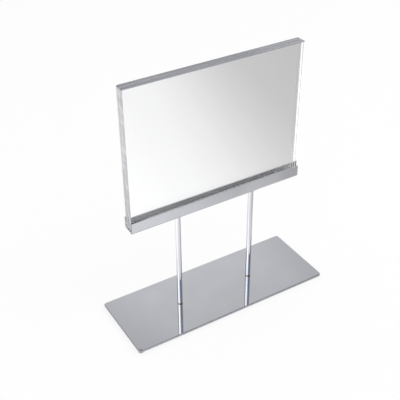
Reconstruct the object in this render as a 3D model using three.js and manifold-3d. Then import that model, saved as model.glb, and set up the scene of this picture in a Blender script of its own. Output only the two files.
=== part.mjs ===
// Countertop sign holder: two clear acrylic sheets stand in a chromed U-channel,
// which two round chromed stems carry above a flat rectangular base plate.
// A card of 7 x 5 in goes between the sheets, and both sheets lift out of the channel.
// Millimetres, +Z up, the front faces -Y, left is -X.
// The origin is under the middle of the base, on the surface that the feet stand on.

import * as THREE from "three";
import { mergeVertices } from "three/addons/utils/BufferGeometryUtils.js";
import Module from "manifold-3d";

// Acrylic sheets
const SHEET_WIDTH = 177.8;
const SHEET_HEIGHT = 137.5;
const SHEET_THICKNESS = 4.75;
const SHEET_CORNER_RADIUS = 1.2;
const SHEET_ARRIS = 0.35;
const CARD_GAP = 0.6;

// U-channel, folded from sheet metal
const CHANNEL_WALL = 1.5;
const CHANNEL_HEIGHT = 12;
const CHANNEL_INSIDE_RADIUS = 0.6;
const CHANNEL_LIP_ROUNDING = 0.35;
const CHANNEL_END_OVERHANG = 0.6;
const SHEET_TO_LIP_CLEARANCE = 0.3;

// Stems, round rod with a tapped hole in each end
const STEM_DIAMETER = 5;
const STEM_LENGTH = 107;
const STEM_SPACING = 80;
const STEM_CHAMFER = 0.3;
const TAPPED_DEPTH_BELOW_SCREW = 2;

// Base plate
const BASE_WIDTH = 209.5;
const BASE_DEPTH = 76.2;
const BASE_THICKNESS = 3;
const BASE_CORNER_RADIUS = 2.5;
const BASE_EDGE_ROUNDING = 0.5;

// Self-adhesive feet
const FOOT_DIAMETER = 10;
const FOOT_HEIGHT = 1;
const FOOT_EDGE_ROUNDING = 0.3;
const FOOT_INSET = 5;

// Countersunk screws with a hexagon socket
const BASE_SCREW = { thread: 3, head: 5.5, length: 11, socket: 2, socketDepth: 1.1 };
const CHANNEL_SCREW = { thread: 2.5, head: 4.2, length: 8, socket: 1.5, socketDepth: 0.6 };
const HEAD_LAND = 0.2;
const HEAD_SUNK_BY = 0.15;
const SCREW_CLEARANCE = 0.15;
const SCREW_TIP_CHAMFER = 0.4;

// Facets
const ROUND_SEGMENTS = 32;
const CORNER_SEGMENTS = 6;
const BEND_SEGMENTS = 5;
const ROUNDING_SEGMENTS = 2;

// Heights and places that follow from the sizes above
const BASE_UNDERSIDE = FOOT_HEIGHT;
const BASE_TOP = BASE_UNDERSIDE + BASE_THICKNESS;
const CHANNEL_UNDERSIDE = BASE_TOP + STEM_LENGTH;
const CHANNEL_FLOOR_TOP = CHANNEL_UNDERSIDE + CHANNEL_WALL;
const CHANNEL_INSIDE_DEPTH = 2 * (SHEET_THICKNESS + SHEET_TO_LIP_CLEARANCE) + CARD_GAP;
const CHANNEL_DEPTH = CHANNEL_INSIDE_DEPTH + 2 * CHANNEL_WALL;
const CHANNEL_LENGTH = SHEET_WIDTH + 2 * CHANNEL_END_OVERHANG;
const SHEET_OFFSET = (CARD_GAP + SHEET_THICKNESS) / 2;
const SIDES = { left: -1, right: 1 };
const ENDS = { front: -1, rear: 1 };

const wasm = await Module();
wasm.setup();

// Boolean helpers

function toSolid(geometry) {
  const bare = geometry.clone();
  bare.deleteAttribute("normal");
  bare.deleteAttribute("uv");
  const merged = mergeVertices(bare, 1e-4);
  const mesh = new wasm.Mesh({
    numProp: 3,
    vertProperties: new Float32Array(merged.attributes.position.array),
    triVerts: new Uint32Array(merged.index.array),
  });
  return new wasm.Manifold(mesh);
}

function toGeometry(solid) {
  const mesh = solid.getMesh();
  const geometry = new THREE.BufferGeometry();
  geometry.setAttribute("position", new THREE.BufferAttribute(mesh.vertProperties, 3));
  geometry.setIndex(new THREE.BufferAttribute(mesh.triVerts, 1));
  geometry.computeVertexNormals();
  return geometry;
}

function cut(geometry, cutters) {
  const result = cutters.reduce((solid, cutter) => solid.subtract(toSolid(cutter)), toSolid(geometry));
  return toGeometry(result);
}

// Shape helpers

function roundedRectangle(width, height, radius) {
  const x = width / 2 - radius;
  const y = height / 2 - radius;
  const shape = new THREE.Shape();
  shape.absarc(x, y, radius, 0, Math.PI / 2);
  shape.absarc(-x, y, radius, Math.PI / 2, Math.PI);
  shape.absarc(-x, -y, radius, Math.PI, 1.5 * Math.PI);
  shape.absarc(x, -y, radius, 1.5 * Math.PI, 2 * Math.PI);
  return shape;
}

// A plate between z = 0 and z = thickness, with its edges eased inside the outline
function easedPlate(shape, thickness, easing, easingSegments) {
  const geometry = new THREE.ExtrudeGeometry(shape, {
    depth: thickness - 2 * easing,
    bevelThickness: easing,
    bevelSize: easing,
    bevelOffset: -easing,
    bevelSegments: easingSegments,
    curveSegments: CORNER_SEGMENTS,
  });
  return geometry.translate(0, 0, easing);
}

// A body turned about Z, from profile points [radius, height] that start and end on the axis
function turned(profile) {
  const points = profile.map(([radius, height]) => new THREE.Vector2(radius, height));
  return new THREE.LatheGeometry(points, ROUND_SEGMENTS).rotateX(Math.PI / 2);
}

function named(name, geometry, material, x = 0, y = 0, z = 0) {
  const mesh = new THREE.Mesh(geometry, material);
  mesh.name = name;
  mesh.position.set(x, y, z);
  return mesh;
}

// Countersunk screws: the head's flat face is at z = 0 and the shank points up

function headConeHeight(screw) {
  return (screw.head - screw.thread) / 2;
}

function screwBlank(screw) {
  const headRadius = screw.head / 2;
  const threadRadius = screw.thread / 2;
  const neck = HEAD_LAND + headConeHeight(screw);
  return turned([
    [0, 0],
    [headRadius, 0],
    [headRadius, HEAD_LAND],
    [threadRadius, neck],
    [threadRadius, screw.length - SCREW_TIP_CHAMFER],
    [threadRadius - SCREW_TIP_CHAMFER, screw.length],
    [0, screw.length],
  ]);
}

function hexSocket(screw) {
  const cornerRadius = screw.socket / Math.sqrt(3);
  const height = 2 * screw.socketDepth;
  return new THREE.CylinderGeometry(cornerRadius, cornerRadius, height, 6).rotateX(Math.PI / 2);
}

function countersunkScrew(screw) {
  return cut(screwBlank(screw), [hexSocket(screw)]);
}

// The hole that the screw goes through, from below its head face to past the plate
function countersunkHole(screw, plate) {
  const headRadius = screw.head / 2 + SCREW_CLEARANCE;
  const threadRadius = screw.thread / 2 + SCREW_CLEARANCE;
  const landTop = HEAD_LAND + SCREW_CLEARANCE;
  const past = plate + HEAD_SUNK_BY;
  return turned([
    [0, -2 * HEAD_SUNK_BY],
    [headRadius, -2 * HEAD_SUNK_BY],
    [headRadius, landTop],
    [threadRadius, landTop + headConeHeight(screw)],
    [threadRadius, past],
    [0, past],
  ]);
}

// Length of the screw that stands past the plate, inside the stem
function reachIntoStem(screw, plate) {
  return screw.length + HEAD_SUNK_BY - plate;
}

// The parts

function basePlate() {
  const outline = roundedRectangle(BASE_WIDTH, BASE_DEPTH, BASE_CORNER_RADIUS);
  const plate = easedPlate(outline, BASE_THICKNESS, BASE_EDGE_ROUNDING, ROUNDING_SEGMENTS);
  const holes = Object.values(SIDES).map((side) =>
    countersunkHole(BASE_SCREW, BASE_THICKNESS).translate(side * STEM_SPACING / 2, 0, HEAD_SUNK_BY));
  return cut(plate, holes);
}

function stem() {
  const radius = STEM_DIAMETER / 2;
  const lowerHole = BASE_SCREW.thread / 2 + SCREW_CLEARANCE;
  const upperHole = CHANNEL_SCREW.thread / 2 + SCREW_CLEARANCE;
  const lowerDepth = reachIntoStem(BASE_SCREW, BASE_THICKNESS) + TAPPED_DEPTH_BELOW_SCREW;
  const upperDepth = reachIntoStem(CHANNEL_SCREW, CHANNEL_WALL) + TAPPED_DEPTH_BELOW_SCREW;
  const drillPoint = 0.6;
  return turned([
    [0, lowerDepth + drillPoint * lowerHole],
    [lowerHole, lowerDepth],
    [lowerHole, 0],
    [radius - STEM_CHAMFER, 0],
    [radius, STEM_CHAMFER],
    [radius, STEM_LENGTH - STEM_CHAMFER],
    [radius - STEM_CHAMFER, STEM_LENGTH],
    [upperHole, STEM_LENGTH],
    [upperHole, STEM_LENGTH - upperDepth],
    [0, STEM_LENGTH - upperDepth - drillPoint * upperHole],
  ]);
}

// The channel's section in Y and Z, folded with round bends and with eased lip tips
function channelSection() {
  const outerY = CHANNEL_DEPTH / 2;
  const innerY = CHANNEL_INSIDE_DEPTH / 2;
  const inside = CHANNEL_INSIDE_RADIUS;
  const outside = inside + CHANNEL_WALL;
  const bendY = innerY - inside;
  const bendZ = CHANNEL_WALL + inside;
  const tip = CHANNEL_LIP_ROUNDING;
  const tipZ = CHANNEL_HEIGHT - tip;
  const quarter = Math.PI / 2;
  const section = new THREE.Shape();
  section.absarc(-bendY, bendZ, outside, 2 * quarter, 3 * quarter);
  section.absarc(bendY, bendZ, outside, 3 * quarter, 4 * quarter);
  section.absarc(outerY - tip, tipZ, tip, 0, quarter);
  section.absarc(innerY + tip, tipZ, tip, quarter, 2 * quarter);
  section.absarc(bendY, bendZ, inside, 4 * quarter, 3 * quarter, true);
  section.absarc(-bendY, bendZ, inside, 3 * quarter, 2 * quarter, true);
  section.absarc(-innerY - tip, tipZ, tip, 0, quarter);
  section.absarc(-outerY + tip, tipZ, tip, quarter, 2 * quarter);
  return section;
}

function channel() {
  const folded = new THREE.ExtrudeGeometry(channelSection(), {
    depth: CHANNEL_LENGTH,
    bevelEnabled: false,
    curveSegments: BEND_SEGMENTS,
  });
  folded.rotateX(Math.PI / 2).rotateZ(Math.PI / 2).translate(-CHANNEL_LENGTH / 2, 0, 0);
  const holes = Object.values(SIDES).map((side) =>
    countersunkHole(CHANNEL_SCREW, CHANNEL_WALL)
      .rotateX(Math.PI)
      .translate(side * STEM_SPACING / 2, 0, CHANNEL_WALL - HEAD_SUNK_BY));
  return cut(folded, holes);
}

// A sheet centred on Y, with its lower edge at z = 0
function sheet() {
  const outline = roundedRectangle(SHEET_WIDTH, SHEET_HEIGHT, SHEET_CORNER_RADIUS);
  const plate = easedPlate(outline, SHEET_THICKNESS, SHEET_ARRIS, 1);
  return plate.rotateX(Math.PI / 2).translate(0, SHEET_THICKNESS / 2, SHEET_HEIGHT / 2);
}

function foot() {
  const radius = FOOT_DIAMETER / 2;
  const ease = FOOT_EDGE_ROUNDING;
  return turned([
    [0, 0],
    [radius - ease, 0],
    [radius - ease * (1 - Math.SQRT1_2), ease * (1 - Math.SQRT1_2)],
    [radius, ease],
    [radius, FOOT_HEIGHT],
    [0, FOOT_HEIGHT],
  ]);
}

// Materials

function chrome() {
  return new THREE.MeshStandardMaterial({ color: 0xb4b4ba, roughness: 0.08, metalness: 1 });
}

function zincPlate() {
  return new THREE.MeshStandardMaterial({ color: 0x9a9a9e, roughness: 0.35, metalness: 1 });
}

function clearAcrylic() {
  return new THREE.MeshStandardMaterial({
    color: 0xeff2f5, roughness: 0.03, metalness: 0, transparent: true, opacity: 0.35,
  });
}

function clearRubber() {
  return new THREE.MeshStandardMaterial({ color: 0xd8dad8, roughness: 0.6, metalness: 0 });
}

// Assembly

const holder = new THREE.Group();

const base = new THREE.Group();
base.position.z = BASE_UNDERSIDE;
base.add(named("base_plate", basePlate(), chrome()));
for (const [side, signX] of Object.entries(SIDES)) {
  const x = signX * STEM_SPACING / 2;
  base.add(named(`base_screw_${side}`, countersunkScrew(BASE_SCREW), zincPlate(), x, 0, HEAD_SUNK_BY));
}
holder.add(base);

for (const [end, signY] of Object.entries(ENDS)) {
  for (const [side, signX] of Object.entries(SIDES)) {
    const x = signX * (BASE_WIDTH / 2 - FOOT_INSET - FOOT_DIAMETER / 2);
    const y = signY * (BASE_DEPTH / 2 - FOOT_INSET - FOOT_DIAMETER / 2);
    holder.add(named(`foot_${end}_${side}`, foot(), clearRubber(), x, y, 0));
  }
}

for (const [side, signX] of Object.entries(SIDES)) {
  holder.add(named(`stem_${side}`, stem(), chrome(), signX * STEM_SPACING / 2, 0, BASE_TOP));
}

const tray = new THREE.Group();
tray.position.z = CHANNEL_UNDERSIDE;
tray.add(named("channel", channel(), chrome()));
for (const [side, signX] of Object.entries(SIDES)) {
  const x = signX * STEM_SPACING / 2;
  const z = CHANNEL_WALL - HEAD_SUNK_BY;
  const screw = named(`channel_screw_${side}`, countersunkScrew(CHANNEL_SCREW), zincPlate(), x, 0, z);
  screw.rotation.x = Math.PI;
  tray.add(screw);
}
holder.add(tray);

for (const [end, signY] of Object.entries(ENDS)) {
  holder.add(named(`${end}_sheet`, sheet(), clearAcrylic(), 0, signY * SHEET_OFFSET, CHANNEL_FLOOR_TOP));
}

export default holder;
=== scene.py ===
from math import cos, pi, radians, sin

import bmesh
import bpy
from mathutils import Matrix, Vector


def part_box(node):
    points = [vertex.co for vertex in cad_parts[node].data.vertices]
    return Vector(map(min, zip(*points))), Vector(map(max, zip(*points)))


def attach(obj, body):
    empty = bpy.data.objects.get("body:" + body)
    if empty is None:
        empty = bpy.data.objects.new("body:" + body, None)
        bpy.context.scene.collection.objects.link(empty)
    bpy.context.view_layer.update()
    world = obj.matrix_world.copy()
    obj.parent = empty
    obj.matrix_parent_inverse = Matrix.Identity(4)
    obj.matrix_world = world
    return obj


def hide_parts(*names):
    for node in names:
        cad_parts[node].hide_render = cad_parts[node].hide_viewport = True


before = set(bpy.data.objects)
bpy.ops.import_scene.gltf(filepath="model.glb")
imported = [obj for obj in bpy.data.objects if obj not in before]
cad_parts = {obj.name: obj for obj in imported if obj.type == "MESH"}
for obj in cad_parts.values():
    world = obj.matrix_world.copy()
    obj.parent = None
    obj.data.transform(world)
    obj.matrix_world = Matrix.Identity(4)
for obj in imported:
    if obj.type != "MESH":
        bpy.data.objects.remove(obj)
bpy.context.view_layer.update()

# Countertop sign holder: two clear acrylic sheets in a chromed U-channel on two chromed
# stems above a chromed base plate. Sizes are in mm, and meshes are made in metres.
MM = 0.001
SIDES = {"left": -1, "right": 1}
ENDS = {"front": -1, "rear": 1}

# Sizes of the pieces
SHEET_WIDTH, SHEET_HEIGHT, SHEET_THICKNESS = 177.8, 137.5, 4.75
SHEET_CORNER_RADIUS, SHEET_ARRIS = 1.2, 0.35
SHEET_OFF_FLOOR = 0.05
CARD_GAP = 0.6
CHANNEL_WALL, CHANNEL_HEIGHT, CHANNEL_LENGTH = 1.5, 12.0, 179.0
CHANNEL_INSIDE_DEPTH, CHANNEL_INSIDE_RADIUS, CHANNEL_LIP_ROUNDING = 10.7, 0.6, 0.35
CHANNEL_END_EASING = 0.12
STEM_DIAMETER, STEM_LENGTH, STEM_SPACING, STEM_CHAMFER = 5.0, 107.0, 80.0, 0.3
BASE_WIDTH, BASE_DEPTH, BASE_THICKNESS = 209.5, 76.2, 3.0
BASE_CORNER_RADIUS, BASE_EDGE_ROUNDING = 2.5, 0.5
FOOT_DIAMETER, FOOT_HEIGHT, FOOT_EDGE_ROUNDING = 10.0, 1.0, 0.3
BASE_SCREW = {"thread": 3.0, "head": 5.5, "length": 11.0}
CHANNEL_SCREW = {"thread": 2.5, "head": 4.2, "length": 8.0}
HEAD_LAND, HEAD_SUNK_BY, SCREW_CLEARANCE = 0.2, 0.15, 0.15
TAPPED_DEPTH_BELOW_SCREW, DRILL_POINT = 2.0, 0.6

# Heights that the pieces stand on or reach
BASE_UNDERSIDE = FOOT_HEIGHT
BASE_TOP = BASE_UNDERSIDE + BASE_THICKNESS
CHANNEL_UNDERSIDE = BASE_TOP + STEM_LENGTH
CHANNEL_FLOOR_TOP = CHANNEL_UNDERSIDE + CHANNEL_WALL
SHEET_TOP = CHANNEL_FLOOR_TOP + SHEET_HEIGHT

# How far the plate and the sheets reach from the object's middle, along X and along Y
PLATE_END, PLATE_FRONT = BASE_WIDTH / 2, BASE_DEPTH / 2
SHEET_END, SHEET_REAR = SHEET_WIDTH / 2, CARD_GAP / 2 + SHEET_THICKNESS

# Finer rounding than the solids have
CORNER_STEPS, EASING_STEPS, BEND_STEPS, TIP_STEPS = 12, 5, 14, 6
ROUND_STEPS, SMALL_ROUND_STEPS = 96, 64
# The part of the easing of the channel's ends where its middle ring lies
EASING_MIDDLE = 0.3
# The angle in degrees above which an edge is sharp
SHARP_ANGLE = 30

# How far past a plane a face may lie and still count as on it
FACE_TOLERANCE = 0.01
# How far a face's normal goes along one axis where the face starts to count as a level face of the
# plate, a cut end of the channel, a large face of a sheet and a top edge of a sheet
PLATE_LEVEL, CHANNEL_END, SHEET_FACE, SHEET_EDGE = 0.98, 0.5, 0.9, 0.4


# Camera: its angles in degrees, its distance and lens in mm, and the range that it sees in metres

VIEW_AZIMUTH, VIEW_ELEVATION, VIEW_ROLL = -31.03, 34.71, -0.48
VIEW_DISTANCE, VIEW_TARGET = 700.0, Vector((-16.3, 0.0, 117.7))
LENS = 69.19
CLIP_START, CLIP_END = 0.05, 50


def add_camera():
    azimuth, elevation, roll = map(radians, (VIEW_AZIMUTH, VIEW_ELEVATION, VIEW_ROLL))
    back = Vector((sin(azimuth) * cos(elevation), -cos(azimuth) * cos(elevation), sin(elevation)))
    level = Vector((cos(azimuth), sin(azimuth), 0))
    upright = back.cross(level)
    right = cos(roll) * level + sin(roll) * upright
    up = -sin(roll) * level + cos(roll) * upright
    data = bpy.data.cameras.new("camera")
    data.lens = LENS
    data.clip_start, data.clip_end = CLIP_START, CLIP_END
    camera = bpy.data.objects.new("camera", data)
    turn = Matrix((right, up, back)).transposed().to_4x4()
    camera.matrix_world = Matrix.Translation((VIEW_TARGET + back * VIEW_DISTANCE) * MM) @ turn
    bpy.context.scene.collection.objects.link(camera)
    bpy.context.scene.camera = camera


# Mesh helpers


def piece(name, mesh):
    """An object of a bmesh, smooth except where faces meet at more than the sharp angle."""
    bmesh.ops.recalc_face_normals(mesh, faces=mesh.faces)
    data = bpy.data.meshes.new(name)
    mesh.to_mesh(data)
    mesh.free()
    data.polygons.foreach_set("use_smooth", [True] * len(data.polygons))
    data.set_sharp_from_angle(angle=radians(SHARP_ANGLE))
    made = bpy.data.objects.new(name, data)
    bpy.context.scene.collection.objects.link(made)
    return made


def lofted(rings, folded=False):
    """A closed body through rings with the same number of points, in mm. Where the rings are folded,
    running out along one side and back along the other, its ends are strips between the two sides."""
    mesh = bmesh.new()
    loops = [[mesh.verts.new(Vector(point) * MM) for point in ring] for ring in rings]
    for lower, upper in zip(loops, loops[1:]):
        for i in range(len(lower)):
            mesh.faces.new((lower[i - 1], lower[i], upper[i], upper[i - 1]))
    for loop in (loops[0], loops[-1]):
        if not folded:
            mesh.faces.new(loop)
            continue
        for i in range(len(loop) // 2 - 1):
            mesh.faces.new((loop[i], loop[i + 1], loop[-i - 2], loop[-i - 1]))
    return mesh


def turned(profile, centre, flipped=False, base=0.0, steps=ROUND_STEPS):
    """A body turned about a vertical axis, from (radius, height) points that start and end on the axis."""
    mesh = bmesh.new()
    sign = -1 if flipped else 1
    loops = []
    for radius, height in profile:
        z = base + sign * height
        if radius == 0:
            loops.append([mesh.verts.new(Vector((*centre, z)) * MM)] * steps)
            continue
        angles = [2 * pi * i / steps for i in range(steps)]
        ring = [Vector((centre[0] + radius * cos(a), centre[1] + radius * sin(a), z)) for a in angles]
        loops.append([mesh.verts.new(point * MM) for point in ring])
    for lower, upper in zip(loops, loops[1:]):
        for i in range(steps):
            corners = (lower[i - 1], lower[i], upper[i], upper[i - 1])
            mesh.faces.new(tuple(dict.fromkeys(corners)))
    return mesh


def arc(centre, radius, start, end, steps):
    """Points of an arc, with its angles in quarter turns."""
    angles = [pi / 2 * (start + (end - start) * i / steps) for i in range(steps + 1)]
    return [(centre[0] + radius * cos(a), centre[1] + radius * sin(a)) for a in angles]


def rounded_rectangle(width, height, radius, steps):
    x, y = width / 2 - radius, height / 2 - radius
    corners = [(x, y), (-x, y), (-x, -y), (x, -y)]
    return [p for i, c in enumerate(corners) for p in arc(c, radius, i, i + 1, steps)]


def eased_plate(width, height, thickness, radius, easing, place):
    """A plate with round corners and rounded edges. place turns (u, v, w) into a point, w through it."""
    quarter = [pi / 2 * i / EASING_STEPS for i in range(EASING_STEPS + 1)]
    levels = [(easing * (1 - sin(a)), easing * (1 - cos(a))) for a in quarter]
    levels += [(inset, thickness - depth) for inset, depth in reversed(levels)]
    rings = []
    for inset, depth in levels:
        outline = rounded_rectangle(width - 2 * inset, height - 2 * inset, radius - inset, CORNER_STEPS)
        rings.append([place(u, v, depth) for u, v in outline])
    return lofted(rings)


def cut(target, tool_mesh):
    """Cuts a bmesh body out of an object for good."""
    tool = piece("tool", tool_mesh)
    step = target.modifiers.new("cut", "BOOLEAN")
    step.operation, step.solver, step.object = "DIFFERENCE", "EXACT", tool
    made = bpy.data.meshes.new_from_object(target.evaluated_get(bpy.context.evaluated_depsgraph_get()))
    target.modifiers.clear()
    old, target.data = target.data, made
    made.name = target.name
    bpy.data.meshes.remove(old)
    tool_data = tool.data
    bpy.data.objects.remove(tool)
    bpy.data.meshes.remove(tool_data)


def even_normals(target):
    """Large faces keep their own normal, so that flat mirror faces stay flat beside rounded edges."""
    step = target.modifiers.new("even normals", "WEIGHTED_NORMAL")
    step.keep_sharp = True


def countersunk_hole(screw, plate, x, base, flipped=False):
    """The hole for a screw, from past its head's flat face to past the plate."""
    head = screw["head"] / 2 + SCREW_CLEARANCE
    thread = screw["thread"] / 2 + SCREW_CLEARANCE
    land = HEAD_LAND + SCREW_CLEARANCE
    cone = (screw["head"] - screw["thread"]) / 2
    before, past = -2 * HEAD_SUNK_BY, plate + HEAD_SUNK_BY
    profile = [(0, before), (head, before), (head, land), (thread, land + cone), (thread, past), (0, past)]
    return turned(profile, (x, 0), flipped, base, SMALL_ROUND_STEPS)


# Materials


class Nodes:
    """Adds nodes to one tree. Where a value goes into a node, it is a constant or another node's socket."""

    def __init__(self, tree):
        self.tree = tree

    def put(self, socket, value):
        if isinstance(value, bpy.types.NodeSocket):
            self.tree.links.new(value, socket)
        else:
            socket.default_value = value

    def node(self, kind, settings=None, **inputs):
        """A node with its inputs set. An underscore in an input's name means a space."""
        made = self.tree.nodes.new(kind)
        for key, value in (settings or {}).items():
            setattr(made, key, value)
        for key, value in inputs.items():
            self.put(made.inputs[key.replace("_", " ")], value)
        return made

    def maths(self, operation, first, second):
        made = self.node("ShaderNodeMath", {"operation": operation})
        self.put(made.inputs[0], first)
        self.put(made.inputs[1], second)
        return made.outputs["Value"]

    def ranged(self, value, low, high, to_low=0.0, to_high=1.0, smooth=False):
        """The value's place from low to high as a place from to_low to to_high. high may be the lower."""
        made = self.node("ShaderNodeMapRange", Value=value, From_Min=low, From_Max=high)
        made.interpolation_type = "SMOOTHSTEP" if smooth else "LINEAR"
        made.inputs["To Min"].default_value = to_low
        made.inputs["To Max"].default_value = to_high
        return made.outputs["Result"]

    def blend(self, factor, first, second):
        """The first colour where the factor is 0, and the second where it is 1."""
        made = self.node("ShaderNodeMix", {"data_type": "RGBA"}, Factor=factor)
        for name, value in (("A", first), ("B", second)):
            self.put(next(s for s in made.inputs if s.name == name and s.type == "RGBA"), value)
        return next(s for s in made.outputs if s.type == "RGBA")

    def show_mix(self, factor, first, second):
        """Shows the first shader where the factor is 0, and the second where it is 1."""
        mixed = self.node("ShaderNodeMixShader", Fac=factor)
        self.put(mixed.inputs[1], first)
        self.put(mixed.inputs[2], second)
        self.put(self.tree.nodes["Material Output"].inputs["Surface"], mixed.outputs["Shader"])

    def along(self, vector, direction):
        """How far a vector goes in a direction."""
        made = self.node("ShaderNodeVectorMath", {"operation": "DOT_PRODUCT"})
        self.put(made.inputs[0], vector)
        self.put(made.inputs[1], direction)
        return made.outputs["Value"]


class Look(Nodes):
    """One material: its node tree, its Principled shader, and the place on the piece in metres."""

    def __init__(self, name, **constants):
        self.material = bpy.data.materials.new(name)
        self.material.use_nodes = True
        super().__init__(self.material.node_tree)
        self.shader = self.tree.nodes["Principled BSDF"]
        self.set(**constants)
        self.place = self.node("ShaderNodeTexCoord").outputs["Object"]

    def set(self, **inputs):
        for key, value in inputs.items():
            self.put(self.shader.inputs[key.replace("_", " ")], value)

    def stretched(self, scale):
        return self.node("ShaderNodeMapping", Vector=self.place, Scale=scale).outputs["Vector"]

    def noise(self, scale, detail):
        """Noise with a fineness. Three numbers for it draw the noise out along the axes."""
        if isinstance(scale, tuple):
            made = self.node("ShaderNodeTexNoise", Vector=self.stretched(scale), Scale=1.0, Detail=detail)
        else:
            made = self.node("ShaderNodeTexNoise", Vector=self.place, Scale=scale, Detail=detail)
        return made.outputs["Fac"]

    def reached(self, axis, begins, full):
        """0 up to one place along an axis, in mm, 1 past the other, and smooth between."""
        place = self.node("ShaderNodeSeparateXYZ", Vector=self.place).outputs[axis]
        return self.ranged(place, begins * MM, full * MM, smooth=True)

    def bump(self, height, depth, strength=1.0, after=None):
        """A bump with its depth in mm, on top of another one where after gives it."""
        made = self.node("ShaderNodeBump", Height=height, Distance=depth * MM, Strength=strength)
        if after:
            self.put(made.inputs["Normal"], after)
        return made.outputs["Normal"]

    def add_patch(self, tone, *edges):
        """Blends a tone in past all edges. An edge is an axis and the places where the tone begins and
        is full, in mm."""
        share = self.reached(*edges[0])
        for edge in edges[1:]:
            share = self.maths("MULTIPLY", share, self.reached(*edge))
        colour = self.shader.inputs["Base Color"]
        plain = colour.links[0].from_socket if colour.is_linked else colour.default_value[:]
        self.set(Base_Color=self.blend(share, plain, tone))


# Tones of the metals: the plain one, and the one that haze, lines or patches bring
PLATE_TONES = ((0.62, 0.63, 0.66, 1), (0.56, 0.565, 0.595, 1))
STEM_TONES = ((0.68, 0.685, 0.705, 1), (0.62, 0.625, 0.65, 1))
# The plate's cut edges and ends are darker than its top: painted reflection of the shade on the floor
# beside the plate, with the ends darker still. Their lines are real
EDGE_TONES = ((0.38, 0.385, 0.405, 1), (0.28, 0.285, 0.305, 1))
END_TONES = ((0.29, 0.295, 0.31, 1), (0.2, 0.205, 0.22, 1))
# The inside's tones are painted light, lighter than the outer chrome's
INSIDE_TONES = ((1.0, 1.0, 1.0, 1), (0.8, 0.8, 0.81, 1))
TIP_TONES = ((0.68, 0.685, 0.7, 1), (0.55, 0.555, 0.575, 1))
# The front lip's cut ends are a darker copy of the channel's other cut ends: painted shade
FRONT_END_SHADE_TONES = ((0.17, 0.175, 0.19, 1), (0.11, 0.115, 0.125, 1))
CHANNEL_END_TONES = ((0.53, 0.535, 0.55, 1), (0.43, 0.435, 0.45, 1))
ZINC_TONES = ((0.62, 0.62, 0.64, 1), (0.5, 0.51, 0.54, 1))
# The tint of light that only glances off a stem
STEM_GLANCE = (0.6, 0.6, 0.62, 1)

# Tones of the acrylic and the rubber: the plain one, and the cloudy one
CLEAR_TONE = (0.99, 0.99, 0.99, 1)
SATIN_TONES = ((0.86, 0.86, 0.88, 1), (0.56, 0.56, 0.575, 1))
# The top edge's tones are painted shade: the sheets' cut edges have one finish, and the top edge is made
# darker than the ends for the light it gets
TOP_EDGE_SHADE_TONES = ((0.35, 0.355, 0.39, 1), (0.3, 0.305, 0.34, 1))
RUBBER_TONES = ((0.84, 0.85, 0.84, 1), (0.72, 0.73, 0.72, 1))

# How fine the marks are along each axis: wiped hairlines, saw and mill lines, clouds and wear
PLATE_WIPE, CHANNEL_WIPE, STEM_WIPE = (40, 1400, 40), (60, 1600, 1600), (1800, 1800, 30)
CUT_LINES, TIP_LINES, INSIDE_LINES = (300, 300, 2500), (25, 450, 450), (20, 520, 520)
ACRYLIC_CLOUDS, ACRYLIC_WEAR = (12, 40, 85), (900, 900, 60)
# How fine the marks are that lie the same along every axis
HAZE, WAVES = 45.0, 28.0
ZINC_PATCHES, ZINC_GRAIN, RUBBER_PATCHES, RUBBER_GRAIN = 900.0, 2500.0, 700.0, 4000.0

# The values of each kind of noise between which its marks come up
HAZE_RANGE, HAIRLINE_RANGE, LINE_RANGE = (0.3, 0.75), (0.62, 0.78), (0.38, 0.62)
CLOUD_RANGE, WEAR_RANGE, ROUGH_RANGE = (0.4, 0.6), (0.66, 0.8), (0.3, 0.7)

# The shares of the second tone that marks take, and the heights between which clouds thicken downwards
HAZE_SHARE, HAIRLINE_SHARE = 0.6, 0.4
CLOUD_SHARE, LOW_CLOUD_SHARE = 0.8, 0.6
LOW_CLOUDS_BEGIN, LOW_CLOUDS_FULL = 190, 125
# The place along the channel where its inner lines begin, and where they are full: towards the left end the
# inside keeps its plain tone, painted light
INSIDE_LINES_RISE = (-80, 20)

# Roughness without marks and with them, or what marks add to it
HAZE_ROUGHNESS, LINE_ROUGHNESS = (0.02, 0.055), (0.3, 0.45)
ZINC_ROUGHNESS, RUBBER_ROUGHNESS = (0.22, 0.42), (0.45, 0.62)
HAIRLINE_ROUGHNESS, WEAR_ROUGHNESS = 0.05, 0.06
POLISHED_ROUGHNESS, SATIN_ROUGHNESS, TOP_EDGE_ROUGHNESS = 0.0, 0.4, 0.5

# How deep marks and waves are, and how strongly hairlines show
HAIRLINE_DEPTH, HAIRLINE_STRENGTH, LINE_DEPTH, GRAIN_DEPTH = 0.0006, 0.6, 0.004, 0.01
PLATE_WAVINESS, STEM_WAVINESS, CHANNEL_WAVINESS = 0.004, 0.002, 0.008

# How much light goes through, and how strongly it bends
POLISHED_CLEARNESS, SATIN_CLEARNESS, TOP_EDGE_CLEARNESS, RUBBER_CLEARNESS = 1.0, 0.5, 0.35, 0.35
ACRYLIC_INDEX, RUBBER_INDEX = 1.49, 1.48

# The dull brownish ring where a stem meets the plate
RING_AT_FOOT = (0.3, 0.23, 0.16, 1), ("Z", BASE_TOP + 1.6, BASE_TOP + 0.6)
# Painted light on the lowest part of the plate's cut edges: a painted reflection of the lit floor beside
# the plate
PAINTED_LIGHT_AT_FOOT = (0.86, 0.865, 0.88, 1), ("Z", BASE_UNDERSIDE + 1.2, BASE_UNDERSIDE + 0.5)
# Painted reflection: the plate is a little darker towards its ends, standing in for a studio that darkens
# to the sides
PAINTED_REFLECTION_TONE, PAINTED_REFLECTION_FROM, PAINTED_REFLECTION_TO = (0.525, 0.53, 0.56, 1), 55, 110
# The plate's front left corner is darker
DARKER_FRONT_LEFT_CORNER = (
    (0.3, 0.3, 0.31, 1), ("X", 5 - PLATE_END, 2 - PLATE_END), ("Y", 4 - PLATE_FRONT, 1.5 - PLATE_FRONT))
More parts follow.
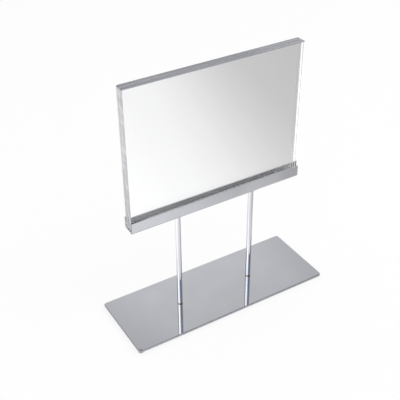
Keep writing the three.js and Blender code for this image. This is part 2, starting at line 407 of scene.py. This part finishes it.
# Painted shade: the front lip's tip is dark towards its left end, standing in for the shadow of the gap
# between the lip and the sheet
PAINTED_GAP_SHADOW = (0.14, 0.14, 0.15, 1), ("X", -68, -90), ("Y", 0, -1)
# A stretch of the channel's right half is lighter
LIGHTER_CHANNEL_STRETCH = (0.7, 0.71, 0.735, 1), ("X", 15, 40), ("X", 80, 62)
# Painted light: the sheets' top edges are lighter towards their right end
PAINTED_LIGHT_ON_TOP_EDGE = (0.41, 0.415, 0.45, 1), ("X", 25, 60)
# Painted shade on the sheets' faces just below their top edges, which keeps the gap between the two sheets
# as dark as the edges beside it
PAINTED_SHADE_UNDER_TOP = (0.25, 0.255, 0.28, 1), ("Z", SHEET_TOP - 0.85, SHEET_TOP - 0.6)
# A painted shade on the rear sheet's rear face, along its right end, standing in for the end's own
# reflection in the sheet
END_SHADE = (
    (0.84, 0.84, 0.84, 1), ("Y", SHEET_REAR - 0.1, SHEET_REAR - 0.05),
    ("X", SHEET_END - 4.2, SHEET_END - 3.9), ("Z", 136, 150))


def chrome(name, wipe, waviness, tones=PLATE_TONES):
    """Polished chrome plate: a faint haze, hairlines along the wiping direction and a slight waviness."""
    look = Look(name, Metallic=1.0)
    haze = look.noise(HAZE, detail=4.0)
    hairlines = look.ranged(look.noise(wipe, detail=2.0), *HAIRLINE_RANGE)
    dulled = look.ranged(haze, *HAZE_RANGE, 0.0, HAZE_SHARE)
    dulled = look.maths("ADD", dulled, look.maths("MULTIPLY", hairlines, HAIRLINE_SHARE))
    look.set(Base_Color=look.blend(dulled, *tones))
    rough = look.ranged(haze, *HAZE_RANGE, *HAZE_ROUGHNESS)
    rough = look.maths("ADD", rough, look.maths("MULTIPLY", hairlines, HAIRLINE_ROUGHNESS))
    look.set(Roughness=rough)
    wave = look.bump(look.noise(WAVES, detail=1.0), waviness)
    look.set(Normal=look.bump(hairlines, HAIRLINE_DEPTH, HAIRLINE_STRENGTH, after=wave))
    return look


def dull_chrome(name, draw, tones, rise=None):
    """Chrome over steel that wasn't polished first, with the lines of the saw or the rolling mill, in the
    tones given; where these hold painted shade or light, their constants say so. Where rise gives two
    places along X, the lines come up from the plain tone between the two."""
    look = Look(name, Metallic=1.0)
    lines = look.noise(draw, detail=3.0)
    share = look.ranged(lines, *LINE_RANGE)
    if rise:
        share = look.maths("MULTIPLY", share, look.reached("X", *rise))
    look.set(Base_Color=look.blend(share, *tones))
    look.set(Roughness=look.ranged(lines, *ROUGH_RANGE, *LINE_ROUGHNESS))
    look.set(Normal=look.bump(lines, LINE_DEPTH))
    return look


def acrylic(name, clearness, roughness, tint, cloud_tint=None):
    """Clear acrylic. With a second tint it is cloudy along its height, and takes more of that tint low
    down. Lamps reach what is behind it."""
    look = Look(name, Transmission_Weight=clearness, IOR=ACRYLIC_INDEX, Base_Color=tint)
    if cloud_tint:
        clouds = look.ranged(look.noise(ACRYLIC_CLOUDS, detail=2.0), *CLOUD_RANGE, 0.0, CLOUD_SHARE)
        lowness = look.reached("Z", LOW_CLOUDS_BEGIN, LOW_CLOUDS_FULL)
        share = look.maths("ADD", clouds, look.maths("MULTIPLY", lowness, LOW_CLOUD_SHARE))
        look.set(Base_Color=look.blend(share, tint, cloud_tint))
    lamp_ray = look.node("ShaderNodeLightPath").outputs["Is Shadow Ray"]
    nothing = look.node("ShaderNodeBsdfTransparent").outputs["BSDF"]
    look.show_mix(lamp_ray, look.shader.outputs["BSDF"], nothing)
    wear = look.noise(ACRYLIC_WEAR, detail=2.0)
    look.set(Roughness=look.ranged(wear, *WEAR_RANGE, roughness, roughness + WEAR_ROUGHNESS))
    return look


def grainy(name, patches, tones, roughness, grain, detail, **constants):
    """A material with soft patches and a fine grain. patches and grain say how fine they are."""
    look = Look(name, **constants)
    patchiness = look.noise(patches, detail)
    look.set(Base_Color=look.blend(patchiness, *tones))
    look.set(Roughness=look.ranged(patchiness, *ROUGH_RANGE, *roughness))
    look.set(Normal=look.bump(look.noise(grain, detail=2.0), GRAIN_DEPTH))
    return look


# Pieces


def dress(made, body, node, slot, *looks):
    """Gives a piece its materials and its body, and hides the CAD node that it stands for. The slot is not
    used.
    """
    for look in looks:
        made.data.materials.append(look.material)
    even_normals(made)
    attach(made, body)
    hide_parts(node)


def base_plate(look, edge_look, end_look):
    plate = piece("plate", eased_plate(
        BASE_WIDTH, BASE_DEPTH, BASE_THICKNESS, BASE_CORNER_RADIUS, BASE_EDGE_ROUNDING,
        lambda u, v, w: (u, v, BASE_UNDERSIDE + w)))
    for side in SIDES.values():
        x = side * STEM_SPACING / 2
        cut(plate, countersunk_hole(BASE_SCREW, BASE_THICKNESS, x, BASE_UNDERSIDE + HEAD_SUNK_BY))
    dress(plate, "stand", "base_plate", "chrome", look, edge_look, end_look)
    edge, end = 1, 2
    for face in plate.data.polygons:
        if abs(face.normal.z) < PLATE_LEVEL:
            face.material_index = end if abs(face.normal.x) > abs(face.normal.y) else edge


def stem(side, look):
    radius = STEM_DIAMETER / 2
    lower, upper = (screw["thread"] / 2 + SCREW_CLEARANCE for screw in (BASE_SCREW, CHANNEL_SCREW))
    reach = HEAD_SUNK_BY + TAPPED_DEPTH_BELOW_SCREW
    lower_depth = BASE_SCREW["length"] + reach - BASE_THICKNESS
    upper_depth = CHANNEL_SCREW["length"] + reach - CHANNEL_WALL
    profile = [
        (0, lower_depth + DRILL_POINT * lower), (lower, lower_depth), (lower, 0),
        (radius - STEM_CHAMFER, 0), (radius, STEM_CHAMFER),
        (radius, STEM_LENGTH - STEM_CHAMFER), (radius - STEM_CHAMFER, STEM_LENGTH),
        (upper, STEM_LENGTH), (upper, STEM_LENGTH - upper_depth),
        (0, STEM_LENGTH - upper_depth - DRILL_POINT * upper),
    ]
    made = piece(f"rod_{side}", turned(profile, (SIDES[side] * STEM_SPACING / 2, 0), base=BASE_TOP))
    dress(made, "stand", f"stem_{side}", "chrome", look)


def channel_section(shrink):
    """The folded section in Y and Z, along its outside from the front lip's tip to the rear one's and
    back along its inside, with its surface moved inwards by shrink."""
    inner = CHANNEL_INSIDE_DEPTH / 2
    outer = inner + CHANNEL_WALL
    inside, outside = CHANNEL_INSIDE_RADIUS + shrink, CHANNEL_INSIDE_RADIUS + CHANNEL_WALL - shrink
    bend_y, bend_z = inner - CHANNEL_INSIDE_RADIUS, CHANNEL_WALL + CHANNEL_INSIDE_RADIUS
    tip, tip_z = CHANNEL_LIP_ROUNDING - shrink, CHANNEL_HEIGHT - CHANNEL_LIP_ROUNDING
    tip_out, tip_in = outer - CHANNEL_LIP_ROUNDING, inner + CHANNEL_LIP_ROUNDING
    points = arc((-tip_out, tip_z), tip, 1, 2, TIP_STEPS)
    points += arc((-bend_y, bend_z), outside, 2, 3, BEND_STEPS)
    points += arc((bend_y, bend_z), outside, 3, 4, BEND_STEPS)
    points += arc((tip_out, tip_z), tip, 0, 1, TIP_STEPS)
    points += arc((tip_in, tip_z), tip, 1, 2, TIP_STEPS)
    points += arc((bend_y, bend_z), inside, 4, 3, BEND_STEPS)
    points += arc((-bend_y, bend_z), inside, 3, 2, BEND_STEPS)
    points += arc((-tip_in, tip_z), tip, 0, 1, TIP_STEPS)
    return points


def channel(look, inside_look, tip_look, end_look, front_end_look):
    reach, easing = CHANNEL_LENGTH / 2, CHANNEL_END_EASING
    partly = easing * EASING_MIDDLE
    levels = [(-reach, easing), (-reach + partly, partly), (-reach + easing, 0)]
    levels += [(-x, shrink) for x, shrink in reversed(levels)]
    rings = [[(x, y, CHANNEL_UNDERSIDE + z) for y, z in channel_section(shrink)] for x, shrink in levels]
    made = piece("u_channel", lofted(rings, folded=True))
    for side in SIDES.values():
        x = side * STEM_SPACING / 2
        cut(made, countersunk_hole(CHANNEL_SCREW, CHANNEL_WALL, x, CHANNEL_FLOOR_TOP - HEAD_SUNK_BY, True))
    dress(made, "stand", "channel", "chrome", look, inside_look, tip_look, end_look, front_end_look)
    inner = (CHANNEL_INSIDE_DEPTH / 2 + FACE_TOLERANCE) * MM
    lowest = (CHANNEL_UNDERSIDE + FACE_TOLERANCE) * MM
    lip_edge = (CHANNEL_UNDERSIDE + CHANNEL_HEIGHT - CHANNEL_LIP_ROUNDING) * MM
    inside, tip, end, front_end = 1, 2, 3, 4
    for face in made.data.polygons:
        if abs(face.normal.x) > CHANNEL_END:
            face.material_index = front_end if face.center.y < -inner else end
        elif face.center.z > lip_edge:
            face.material_index = tip
        elif abs(face.center.y) < inner and face.center.z > lowest:
            face.material_index = inside


def sheet(end, face_look, top_look, left_look, right_look):
    """A sheet a hair's breadth off the channel's floor, so that light finds the air between the two."""
    y = ENDS[end] * (CARD_GAP + SHEET_THICKNESS) / 2 - SHEET_THICKNESS / 2
    height = SHEET_HEIGHT - SHEET_OFF_FLOOR
    middle = CHANNEL_FLOOR_TOP + SHEET_OFF_FLOOR + height / 2
    made = piece(f"acrylic_{end}", eased_plate(
        SHEET_WIDTH, height, SHEET_THICKNESS, SHEET_CORNER_RADIUS, SHEET_ARRIS,
        lambda u, v, w: (u, y + w, middle + v)))
    looks = face_look, top_look, left_look, right_look
    dress(made, f"{end}_sheet", f"{end}_sheet", "clear_acrylic", *looks)
    top, left, right = 1, 2, 3
    for face in made.data.polygons:
        if abs(face.normal.y) < SHEET_FACE:
            side = left if face.normal.x < 0 else right
            face.material_index = top if face.normal.z > SHEET_EDGE else side


def foot(end, side, look):
    low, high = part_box(f"foot_{end}_{side}")
    centre = ((low + high) / 2 / MM).to_2d()
    radius, ease = FOOT_DIAMETER / 2, FOOT_EDGE_ROUNDING
    profile = [(0, 0)] + arc((radius - ease, ease), ease, -1, 0, EASING_STEPS)
    profile += [(radius, FOOT_HEIGHT), (0, FOOT_HEIGHT)]
    made = piece(f"pad_{end}_{side}", turned(profile, tuple(centre), steps=SMALL_ROUND_STEPS))
    dress(made, "stand", f"foot_{end}_{side}", "clear_rubber", look)


# Stage: floor, world and lamps

# What metal and acrylic show of the studio, as greys. The floor's go with the place in metres along one
# direction: brightest on the left, and darker to the right. The walls' get darker upwards.
FALLOFF_DIRECTION = (1.0, -0.25, 0.0)
FLOOR_FALLOFF = [
    (-0.6, 0.94), (-0.35, 1.2), (-0.2, 1.62), (-0.1, 1.44), (-0.05, 1.12), (0.0, 1.04), (0.05, 1.0),
    (0.1, 0.88), (0.133, 0.77), (0.16, 0.68), (0.21, 0.56), (0.26, 0.51), (0.33, 0.46), (0.45, 0.5),
    (0.8, 0.8),
]
STUDIO_DIRECTION, UPWARDS = (0.3, 0.0, 1.0), (0.0, 0.0, 1.0)
STUDIO_HEIGHT = [
    (0.0, 1.0), (0.55, 0.96), (0.72, 0.89), (0.75, 0.85), (0.8, 0.745), (0.83, 0.66), (1.0, 0.5),
]
STUDIO_TINT = (0.985, 0.99, 1.0)
# The tint of the floor's darkest greys, and the grey above which the studio's own tint is left
SHADE_TINT, SHADED_BELOW = (1.005, 0.985, 0.995), 1.0

# Panels in the studio that round metal shows as lines: the way to each, how far a ray goes that way
# where the panel begins and where it is full, and its tone
STUDIO_PANELS = {
    "white_left": ((-0.98, -0.2, 0.0), 0.58, 0.66, (2.6, 2.6, 2.6, 1.0)),
    "dark_front_right": ((0.39, -0.92, 0.0), 0.6, 0.7, (0.22, 0.32, 0.5, 1.0)),
    "dark_rear_left": ((-0.24, 0.97, 0.0), 0.64, 0.74, (0.35, 0.35, 0.36, 1.0)),
}
# The panels' edges as shares of a ray's rise: where they begin and are full, below and above
PANEL_FOOT, PANEL_HEAD = (0.46, 0.54), (0.82, 0.76)
WHITE = (1.0, 1.0, 1.0, 1.0)
AMBIENT = (0.75, 0.75, 0.75, 1.0)
FLOOR_RADIUS, FLOOR_TONE, FLOOR_GLOW = 6.0, (0.9, 0.9, 0.9, 1), 0.85

# The lamps: the place and the width in metres and the power in watts, and the point that they aim at
LAMPS = {"key": ((1.3, -1.1, 1.5), 1.3, 20), "fill": ((-1.7, 0.3, 1.35), 1.4, 8)}
LAMP_AIM = Vector((0, 0, 0.12))
LIGHT_BOUNCES = 48


class Studio(Nodes):
    """The nodes of the floor or of the world, which show some rays another colour than they shine with."""

    def ray_shares(self):
        """1 for camera, glossy and transmission rays, and 1 for camera rays alone."""
        path = self.node("ShaderNodeLightPath").outputs
        seen = camera = path["Is Camera Ray"]
        for name in ("Is Glossy Ray", "Is Transmission Ray"):
            seen = self.maths("MAXIMUM", seen, path[name])
        return seen, camera

    def ramp(self, value, stops, dark_tint=STUDIO_TINT):
        """Greys along a value, from (value, grey) stops, with dark_tint in the dark ones. A ramp holds no
        more than 1, so its greys are divided by their peak and multiplied again behind it."""
        low, high = stops[0][0], stops[-1][0]
        peak = max(grey for _, grey in stops)
        darkest = min(grey for _, grey in stops)
        made = self.node("ShaderNodeValToRGB", Fac=self.ranged(value, low, high))
        made.color_ramp.interpolation = "CARDINAL"
        elements = made.color_ramp.elements
        while len(elements) < len(stops):
            # Its place is set below
            elements.new(0.5)
        for element, (position, grey) in zip(elements, stops):
            element.position = (position - low) / (high - low)
            light = min(1, (grey - darkest) / (SHADED_BELOW - darkest))
            tints = (light * clear + (1 - light) * dark for clear, dark in zip(STUDIO_TINT, dark_tint))
            element.color = (*(grey / peak * tint for tint in tints), 1)
        scaled = self.node("ShaderNodeVectorMath", {"operation": "SCALE"}, Scale=peak)
        self.put(scaled.inputs[0], made.outputs["Color"])
        return scaled.outputs["Vector"]


def add_floor():
    """A pale floor that keeps the object's shadow. What metal and acrylic show of it has a falloff."""
    mesh = bmesh.new()
    bmesh.ops.create_circle(mesh, cap_ends=True, segments=ROUND_STEPS, radius=FLOOR_RADIUS)
    floor = piece("floor", mesh)
    material = bpy.data.materials.new("pale_floor")
    material.use_nodes = True
    tree = material.node_tree
    tree.nodes.remove(tree.nodes["Principled BSDF"])
    nodes = Studio(tree)
    seen, camera = nodes.ray_shares()
    place = nodes.node("ShaderNodeTexCoord").outputs["Object"]
    falloff = nodes.ramp(nodes.along(place, FALLOFF_DIRECTION), FLOOR_FALLOFF, SHADE_TINT)
    shown = nodes.blend(camera, falloff, WHITE)
    glow = nodes.node("ShaderNodeEmission", Color=shown, Strength=1.0).outputs["Emission"]
    matt = nodes.node("ShaderNodeBsdfDiffuse", Color=FLOOR_TONE).outputs["BSDF"]
    nodes.show_mix(nodes.maths("MULTIPLY", seen, FLOOR_GLOW), matt, glow)
    floor.data.materials.append(material)


def add_world():
    """Plain ambient light. Metal and acrylic show a pale studio that darkens overhead."""
    world = bpy.data.worlds.new("studio")
    bpy.context.scene.world = world
    world.use_nodes = True
    nodes = Studio(world.node_tree)
    seen, camera = nodes.ray_shares()
    direction = nodes.node("ShaderNodeTexCoord").outputs["Generated"]
    studio = nodes.ramp(nodes.along(direction, STUDIO_DIRECTION), STUDIO_HEIGHT)
    rise = nodes.along(direction, UPWARDS)
    above_foot = nodes.ranged(rise, *PANEL_FOOT, smooth=True)
    below_head = nodes.ranged(rise, *PANEL_HEAD, smooth=True)
    in_height = nodes.maths("MULTIPLY", above_foot, below_head)
    for towards, begins, full, tone in STUDIO_PANELS.values():
        facing = nodes.ranged(nodes.along(direction, towards), begins, full, smooth=True)
        studio = nodes.blend(nodes.maths("MULTIPLY", facing, in_height), studio, tone)
    shown = nodes.blend(camera, studio, WHITE)
    background = world.node_tree.nodes["Background"]
    nodes.put(background.inputs["Color"], nodes.blend(seen, AMBIENT, shown))


def add_lamp(name, place, size, power):
    """A large soft lamp that shows in nothing. The studio's panels are what metal shows."""
    data = bpy.data.lights.new(name, "AREA")
    data.shape, data.size, data.energy = "DISK", size, power
    lamp = bpy.data.objects.new(name, data)
    lamp.location = place
    lamp.rotation_mode = "QUATERNION"
    lamp.rotation_quaternion = (LAMP_AIM - Vector(place)).to_track_quat("-Z", "Y")
    lamp.visible_camera = False
    lamp.visible_glossy = False
    lamp.visible_transmission = False
    bpy.context.scene.collection.objects.link(lamp)


# Assembly

add_camera()

plate_chrome = chrome("chrome_plate", PLATE_WIPE, PLATE_WAVINESS)
# Painted reflection: darker towards the plate's ends
for way in SIDES.values():
    plate_chrome.add_patch(PAINTED_REFLECTION_TONE, ("X", way * PAINTED_REFLECTION_FROM, way * PAINTED_REFLECTION_TO))
# Painted reflection of shade in the plate's cut edges and ends
edge_chrome = dull_chrome("chrome_cut_edge", CUT_LINES, EDGE_TONES)
end_chrome = dull_chrome("chrome_cut_end", CUT_LINES, END_TONES)
# Painted light along the foot of the plate's cut edges and ends
for cut_look in (edge_chrome, end_chrome):
    cut_look.add_patch(*PAINTED_LIGHT_AT_FOOT)
# Darker at the plate's front left corner
for plate_look in (plate_chrome, edge_chrome, end_chrome):
    plate_look.add_patch(*DARKER_FRONT_LEFT_CORNER)

stem_chrome = chrome("chrome_stem", STEM_WIPE, STEM_WAVINESS, STEM_TONES)
stem_chrome.set(Specular_Tint=STEM_GLANCE)
stem_chrome.add_patch(*RING_AT_FOOT)

channel_chrome = chrome("chrome_channel", CHANNEL_WIPE, CHANNEL_WAVINESS)
channel_chrome.add_patch(*LIGHTER_CHANNEL_STRETCH)
tip_chrome = dull_chrome("chrome_lip_tip", TIP_LINES, TIP_TONES)
# Painted shadow of the gap on the front lip's tip
tip_chrome.add_patch(*PAINTED_GAP_SHADOW)
# Painted shade: the front lip's cut ends, darker than the channel's other ends
front_end_shaded_chrome = dull_chrome("chrome_front_end_shaded", CUT_LINES, FRONT_END_SHADE_TONES)
channel_end_chrome = dull_chrome("chrome_channel_end", CUT_LINES, CHANNEL_END_TONES)
# Painted light: the channel's inside, lightest towards its left end
inside_chrome = dull_chrome("chrome_inside_channel", INSIDE_LINES, INSIDE_TONES, INSIDE_LINES_RISE)

polished = acrylic("acrylic_polished", POLISHED_CLEARNESS, POLISHED_ROUGHNESS, CLEAR_TONE)
# Painted shade just below the sheets' top edges
polished.add_patch(*PAINTED_SHADE_UNDER_TOP)
polished.add_patch(*END_SHADE)
satin = acrylic("acrylic_satin_edge", SATIN_CLEARNESS, SATIN_ROUGHNESS, *SATIN_TONES)
# Painted shade: the top edges are a darker, less clear copy of the cut edges
shaded_top_edge = acrylic("acrylic_top_edge", TOP_EDGE_CLEARNESS, TOP_EDGE_ROUGHNESS, *TOP_EDGE_SHADE_TONES)
# Painted light towards the right end of the top edges
shaded_top_edge.add_patch(*PAINTED_LIGHT_ON_TOP_EDGE)
pad_rubber = grainy(
    "clear_rubber", RUBBER_PATCHES, RUBBER_TONES, RUBBER_ROUGHNESS, RUBBER_GRAIN, detail=3.0,
    Transmission_Weight=RUBBER_CLEARNESS, IOR=RUBBER_INDEX)
screw_zinc = grainy(
    "zinc_plated_steel", ZINC_PATCHES, ZINC_TONES, ZINC_ROUGHNESS, ZINC_GRAIN, detail=4.0,
    Metallic=1.0)

base_plate(plate_chrome, edge_chrome, end_chrome)
for name in SIDES:
    stem(name, stem_chrome)
channel(channel_chrome, inside_chrome, tip_chrome, channel_end_chrome, front_end_shaded_chrome)
for name in ENDS:
    # The sheets' cut edges have one finish. The top edge's darker look is painted shade. The left end gets
    # a darker satin look and the right end the clear polished one, for how light falls on the two ends:
    # painted shade and light
    sheet(name, polished, shaded_top_edge, satin, polished)
    for side_name in SIDES:
        foot(name, side_name, pad_rubber)
for name, node_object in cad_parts.items():
    if "screw" in name:
        for slot in node_object.material_slots:
            slot.material = screw_zinc.material

add_floor()
add_world()
for name, (place, size, power) in LAMPS.items():
    add_lamp(name, place, size, power)

scene = bpy.context.scene
scene.view_settings.view_transform = "Standard"
scene.cycles.max_bounces = LIGHT_BOUNCES
scene.cycles.glossy_bounces = LIGHT_BOUNCES
scene.cycles.transmission_bounces = LIGHT_BOUNCES
scene.cycles.caustics_reflective = False
scene.cycles.caustics_refractive = False
